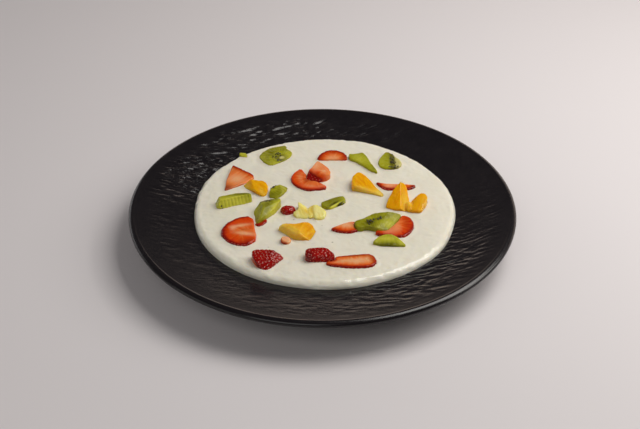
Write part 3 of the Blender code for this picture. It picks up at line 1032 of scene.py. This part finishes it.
# node: (x, y, reach, most seeds) of each cluster
SEED_CLUSTERS = {
    "kiwi_half_round": (
        (-35.6, 60.6, 1.8, 5), (-33.2, 65.4, 2.0, 5), (-32.2, 56.6, 1.6, 3),
        (-31.7, 63, 1.0, 1)),
    "kiwi_leaf_left": ((-35.7, 15.7, 1.1, 2), (-34.1, 17.3, 1.1, 2)),
    "kiwi_ribbed_chunk": ((-69.3, -7.0, 0.9, 1), (-70.4, -6.4, 0.8, 1)),
    "kiwi_wedge_left": ((-38.5, -5.4, 1.8, 2),),
    "kiwi_leaf_middle": ((13.8, -2.0, 1.2, 1),),
    "kiwi_half_cored": (
        (51.9, 58.5, 2.0, 5), (52.2, 52.5, 2.2, 6), (50.2, 46.6, 1.6, 2), (55, 46.4, 2.2, 3),
        (52.6, 63, 1.4, 2)),
    "kiwi_slab_right": (
        (31.3, -28.2, 1.6, 3), (34.3, -27.4, 1.4, 3), (39, -24.8, 1.8, 3), (32.4, -31, 1.0, 1)),
}
SEED_SPACING = 1.5
SEED_STAND = 0.08  # how far a seed's middle is raised from the flesh


def core_fields(points, core, direction, radius):
    """Share of the radius, and angle, of each point about the core."""
    axis = np.array(direction, float)
    axis /= np.linalg.norm(axis)
    away = points / MM - np.array(core)
    away -= np.outer(away @ axis, axis)
    side = np.cross(axis, (0, 1, 0) if abs(axis[2]) > 0.9 else (0, 0, 1))
    side /= np.linalg.norm(side)
    angle = np.arctan2(away @ np.cross(axis, side), away @ side)
    return np.linalg.norm(away, axis=1) / radius, angle


RAYS = 19  # waves in half a turn round the core
RAY_HEIGHT = 0.12
RIB_PITCH = 1.25  # radians of wave in a millimetre
RIB_HEIGHT = 0.3375


def crinkle(points, facets):
    """The knife's crinkles on the front of the ribbed chunk."""
    front = facing(facets, -68, 32, 25)
    wave = np.abs(np.sin((points[:, 0] * 0.93 + points[:, 1] * 0.37) / MM * RIB_PITCH))
    return np.where(front, RIB_HEIGHT * (wave - 0.6), 0)


def shape_kiwi(node, material):
    core, direction, radius = KIWI_PIECES[node]
    mesh = fine_copy((node,), node, material)
    points, normals = shell_of(mesh)
    facets = facet_normals((node,), points)
    share, angle = core_fields(points, core, direction, radius)
    cut = np.clip(facets[:, 2] * 1.6, 0, 1)
    rays = np.abs(np.sin(angle * RAYS + 1.7 * np.sin(angle * 5)))
    lift = RAY_HEIGHT * (rays - 0.5) * cut * smoothstep(0.25, 0.5, share)
    lift += 0.16 * rough(points, 3.2, 17.0)
    if node == "kiwi_ribbed_chunk":
        lift += crinkle(points, facets)
    lift -= 0.15 * smoothstep(0.12, 0.2, share) * (1 - smoothstep(0.4, 0.55, share)) * cut
    lift_skin(mesh, points, normals, lift)
    # peeled marks the facets that face sideways: the peeled outer flesh, and the sides that the
    # material lightens as painted light.
    write_fields(mesh, share=share, ray_x=np.cos(angle), ray_y=np.sin(angle),
                 peeled=np.clip(1.25 - facets[:, 2] * 1.9, 0, 1), tone=tone_at(points, node))
    return mesh


def sow_kiwi_seeds(mesh, node, rng):
    """Clusters of seeds that point away from the core."""
    core = np.array(KIWI_PIECES[node][0])
    points, normals = shell_of(mesh)
    for x, y, reach, most in SEED_CLUSTERS.get(node, ()):
        away = np.hypot(points[:, 0] / MM - x, points[:, 1] / MM - y)
        near = (away < reach) & (normals[:, 2] > 0.05) & (points[:, 2] / MM > PUDDING_TOP)
        for index in spaced(points, np.flatnonzero(near), SEED_SPACING, rng)[:most]:
            seat = points[index] + normals[index] * SEED_STAND * MM
            kiwi_seeds.add(seat, normals[index], points[index] - core * MM,
                           rng.uniform(0.75, 1.1))


# %% Kiwi flesh
KIWI_STOPS = (  # from the core to the peel
    (0.0, 212, 202, 150), (0.15, 200, 190, 122), (0.22, 112, 108, 14), (0.42, 120, 118, 16),
    (0.56, 158, 157, 24), (0.86, 162, 161, 26), (1.0, 138, 136, 20))


def kiwi_material():
    material, tree, shader = new_material("kiwi_flesh")
    share = field(tree, "share")
    rays = combined(field(tree, "ray_x"), field(tree, "ray_y"), times(share, 0.12))
    streak = cloud(rays, 13, 3, 0.6)
    film = wet_film(tree, 330.0, 0.42, 0.2)
    wavy = maths("MULTIPLY_ADD", streak, 0.12, plus(share, -0.06))
    base = ramp(wavy, KIWI_STOPS)
    pale = times(spread(streak, 0.52, 0.72), spread(share, 0.2, 0.5))
    base = blend(times(pale, 0.4), base, paint(192, 190, 58))
    base = blend(times(film["Mottle"], 0.3), base, paint(124, 122, 12))
    # Sideways facets turn a lighter yellow-green: partly the peeled outer flesh, partly painted
    # light that lifts the shade on sides.
    base = blend(times(field(tree, "peeled"), 0.5), base, paint(164, 162, 32))
    dress_flesh(shader, film, streak, (0.16 * MM, 0.6),
                Base_Color=toned(base, paint(206, 201, 70), paint(64, 58, 2)),
                Subsurface_Weight=0.5, Subsurface_Scale=0.004, Coat_Weight=0.06,
                Subsurface_Radius=(0.9, 1.0, 0.25), Coat_Roughness=0.06,
                Specular_IOR_Level=0.15)
    return material


def make_kiwis():
    flesh = kiwi_material()
    rng = random.Random(4)
    for node in KIWI_PIECES:
        sow_kiwi_seeds(shape_kiwi(node, flesh), node, rng)
    black = grain_material("kiwi_seed", paint(24, 18, 10))
    kiwi_seeds.finish("black_kiwi_seeds", black)


make_kiwis()

# %% [markdown]
# ## Strawberry
# A cut strawberry is red only near its skin: the flesh fades from red through orange to
# a pale heart, with fine pale veins that run from the heart to the pips. Each piece is
# told from which sides its skin faces. The depth below the skin then drives the colour,
# and the place along the skin drives the veins.

# %% Which way each piece's skin faces, and how pale its heart is
STRAWBERRY_PIECES = {
    # node: (skin as (azimuth, elevation, reach), how high over the cream the skin climbs,
    #        depth of the heart, paleness from 0 to 1)
    "strawberry_wedge_left": (((55, 0, 48),), 9.0, 4.0, 0.6),
    "strawberry_scrap_left": (((-90, 30, 90),), 0.2, 6.0, 0.1),
    "strawberry_slice_big": (((180, 0, 112),), 9.0, 12.0, 0.5),
    "strawberry_tip_front": (((-30, 45, 85),), 9.0, 9.0, 0.6),
    "strawberry_scrap_middle": (((-90, 60, 110),), 9.0, 9.0, 0.3),
    "strawberry_cube_pale": (((-150, -10, 60),), 0.5, 2.5, 1.0),
    "strawberry_crescent": (((-135, 0, 95),), 1.0, 6.0, 0.4),
    "strawberry_wedge_back": (((-115, 35, 42), (10, 0, 50)), 9.0, 7.0, 0.62),
    "strawberry_half_round": (((90, 0, 85),), 9.0, 8.0, 0.75),
    "strawberry_sliver_right": (((-90, 0, 60),), 9.0, 6.0, 0.7),
    "strawberry_wedge_middle": (((-90, 0, 60),), 1.3, 7.0, 0.9),
    "strawberry_slice_right": (((-20, 0, 75),), 1.4, 14.0, 0.75),
    "strawberry_chunk_front": (((-90, 40, 62),), 9.0, 4.0, 0.7),
    "strawberry_slice_long": (((0, 0, 70), (-90, 0, 45), (90, 0, 45)), 1.4, 5.5, 0.9),
}
SKIN_ENDS = {"strawberry_wedge_back": (0.846, 1.0, 26.6)}  # skin only where ax + by < c
FLAT = 0.75  # a facet whose normal rises more than this is a cut, unless its skin looks up


def skin_mask(facets, sides):
    skin = np.zeros(len(facets), bool)
    for azimuth, elevation, reach in sides:
        side = facing(facets, azimuth, elevation, reach)
        if elevation < 30:
            side &= facets[:, 2] < FLAT
        skin |= side
    return skin & (facets[:, 2] > -0.5)


def shape_strawberry(node, material):
    sides, skin_top, heart_depth, paleness = STRAWBERRY_PIECES[node]
    mesh = fine_copy((node,), node, material)
    points, normals = shell_of(mesh)
    skin = skin_mask(facet_normals((node,), points), sides)
    skin &= points[:, 2] / MM < PUDDING_TOP + skin_top
    if node in SKIN_ENDS:
        slope_x, slope_y, end = SKIN_ENDS[node]
        skin &= (points[:, 0] * slope_x + points[:, 1] * slope_y) / MM < end
    depth, nearest = distance_to(points, points[skin])
    vein = points[skin][nearest] / MM
    lift = 0.12 * rough(points, 3, 13.0) + 0.10 * rough(points, 1.4, 23.0)
    lift_skin(mesh, points, normals, lift)
    write_fields(mesh, skin=skin, depth=depth, vein_x=vein[:, 0], vein_y=vein[:, 1],
                 heart=np.clip(depth / heart_depth, 0, 1) * paleness,
                 tone=tone_at(points, node))
    return mesh, skin


PIP_SPACING = 1.95
PIP_STAND = 0.10
PIP_BARE = 0.9  # skin this low over the cream has no pips
DIMPLE_DEPTH = 0.34
DIMPLE_RIM = 0.06
PIP_SIDE = (0.5, -0.6, 0.4)  # the way that the pips point


def press_pips(mesh, skin, rng):
    """Set pips into dimples, evenly over the skin that shows."""
    points, normals = shell_of(mesh)
    shown = np.flatnonzero(skin & (points[:, 2] / MM > PUDDING_TOP + PIP_BARE))
    taken = spaced(points, shown, PIP_SPACING, rng)
    if not taken:
        return
    away, _ = distance_to(points, points[taken])
    rim = DIMPLE_RIM * np.exp(-(((away - 1.2) / 0.4) ** 2))
    lift_skin(mesh, points, normals, (rim - DIMPLE_DEPTH * np.exp(-((away / 0.75) ** 2))) * skin)
    for index in taken:
        seat = points[index] + normals[index] * PIP_STAND * MM
        strawberry_pips.add(seat, normals[index], PIP_SIDE, rng.uniform(0.85, 1.15))


# %% Strawberry flesh and skin
BERRY_STOPS = (  # from just under the skin to the heart
    (0.0, 186, 34, 2), (0.08, 210, 60, 4), (0.3, 218, 82, 12), (0.6, 228, 128, 62),
    (1.0, 232, 168, 118))


def strawberry_material():
    material, tree, shader = new_material("strawberry_flesh")
    depth, on_skin = field(tree, "depth"), field(tree, "skin")
    veins = combined(field(tree, "vein_x"), field(tree, "vein_y"), times(depth, 0.10))
    streak = cloud(veins, 0.42, 2, 0.5)
    film = wet_film(tree, 300.0, 0.27, 0.11)
    swing = times(maths("SUBTRACT", streak, 0.5), 0.75)
    swing = times(swing, spread(depth, 0.5, 3.0))
    flesh = ramp(plus(swing, field(tree, "heart")), BERRY_STOPS)
    flesh = toned(flesh, paint(236, 178, 132), paint(112, 8, 4))
    flesh = blend(spread(depth, 0.3, 2.3), paint(128, 10, 2), flesh)
    skin = blend(film["Mottle"], paint(116, 3, 0), paint(178, 10, 0))
    # Deep touches, painted shade among them, darken the skin as well.
    dark = times(field(tree, "tone"), -1.0, clamp=True)
    skin = blend(dark, skin, paint(70, 4, 6))
    dress_flesh(shader, film, streak, (0.14 * MM, 0.5),
                Base_Color=blend(on_skin, flesh, skin),
                Coat_Weight=maths("MULTIPLY_ADD", on_skin, 0.3, 0.14),
                Subsurface_Weight=0.4, Subsurface_Scale=0.004,
                Subsurface_Radius=(1.0, 0.3, 0.12), Coat_Roughness=0.05,
                Specular_IOR_Level=0.18)
    return material


def make_strawberries():
    flesh = strawberry_material()
    rng = random.Random(9)
    for node in STRAWBERRY_PIECES:
        mesh, skin = shape_strawberry(node, flesh)
        press_pips(mesh, skin, rng)
    golden = grain_material("strawberry_pip", paint(160, 66, 24))
    strawberry_pips.finish("strawberry_pips", golden)


make_strawberries()

# %% [markdown]
# ## Orange and pineapple
# Orange flesh is a bundle of long juice cells, thin skinned and clear, that all point
# the same way in one segment. Pineapple is pale yellow and fibrous. Both are made of
# long cells: a stretched cell pattern lifts the surface, and the same pattern in the
# material lightens the walls between the cells. Where two pieces of one segment hang
# together in the cream, a soft bridge of flesh joins them.

# %% Which way the cells run, and which nodes are one piece
JUICY_PIECES = {
    # piece: (slot, the cells' compass angle, nodes, bridge as (centre, radii) or None)
    "orange_chunk_left": ("orange_flesh", -40, ("orange_chunk_left",), None),
    "orange_chunk_middle": ("orange_flesh", 60, ("orange_chunk_middle",), None),
    "orange_wedge_right": ("orange_flesh", -60, ("orange_wedge_right",), None),
    "orange_pair_right": ("orange_flesh", 75, ("orange_peak_right", "orange_lobe_right"),
                          ((60.6, -6, 24.6), (3.2, 5.6, 2.6))),
    "pineapple_pair": ("pineapple_flesh", -70, ("pineapple_flap", "pineapple_block"),
                       ((-8.2, -13.5, 24.4), (3.4, 6.4, 1.9))),
}
JUICY_LOOKS = {
    # slot: (cell size, deep, middle and light flesh, pale and deep touches, light's reach)
    "orange_flesh": (2.0, (222, 146, 0), (229, 162, 0), (233, 178, 14), (236, 200, 80),
                     (206, 118, 0), (1.0, 0.6, 0.08)),
    "pineapple_flesh": (1.3, (226, 204, 88), (236, 220, 122), (240, 232, 164),
                        (242, 234, 176), (222, 176, 16), (1.0, 0.85, 0.4)),
}
CELL_HEIGHT = 0.14


def shape_juicy(name, material, cell):
    slot, turn, nodes, bridge = JUICY_PIECES[name]
    mesh = fine_copy(nodes, name, material, bridge)
    points, normals = shell_of(mesh)
    along, across = along_across(points[:, 0], points[:, 1], math.radians(turn))
    laid = np.column_stack([along, across, points[:, 2]])
    cells = np.abs(rough(laid, (cell * 3, cell, cell), 3.0))
    lift = CELL_HEIGHT * (0.5 - 2 * cells) + 0.14 * rough(points, 4, 29.0)
    lift_skin(mesh, points, normals, lift)
    write_fields(mesh, wall=np.clip(1 - 5 * cells, 0, 1), along=along / MM,
                 across=across / MM, tone=tone_at(points, name))


# %% Juicy flesh


def juicy_material(name, deep, middle, light, pale_touch, deep_touch, scatter):
    material, tree, shader = new_material(name)
    laid = combined(times(field(tree, "along"), 0.25), field(tree, "across"))
    fibre = cloud(laid, 0.55, 3, 0.5)
    film = wet_film(tree, 260.0, 0.3, 0.12)
    base = ramp(fibre, ((0.3, *deep), (0.5, *middle), (0.75, *light)))
    base = blend(times(field(tree, "wall"), 0.2), base, paint(*light))
    dress_flesh(shader, film, fibre, (0.2 * MM, 0.5),
                Base_Color=toned(base, paint(*pale_touch), paint(*deep_touch)),
                Subsurface_Weight=0.75, Subsurface_Scale=0.006,
                Subsurface_Radius=scatter, Coat_Weight=0.1, Coat_Roughness=0.06,
                Specular_IOR_Level=0.18)
    return material


def make_orange_and_pineapple():
    for slot, (cell, *looks) in JUICY_LOOKS.items():
        flesh = juicy_material(slot, *looks)
        for name, (of_slot, *_) in JUICY_PIECES.items():
            if of_slot == slot:
                shape_juicy(name, flesh, cell)


make_orange_and_pineapple()
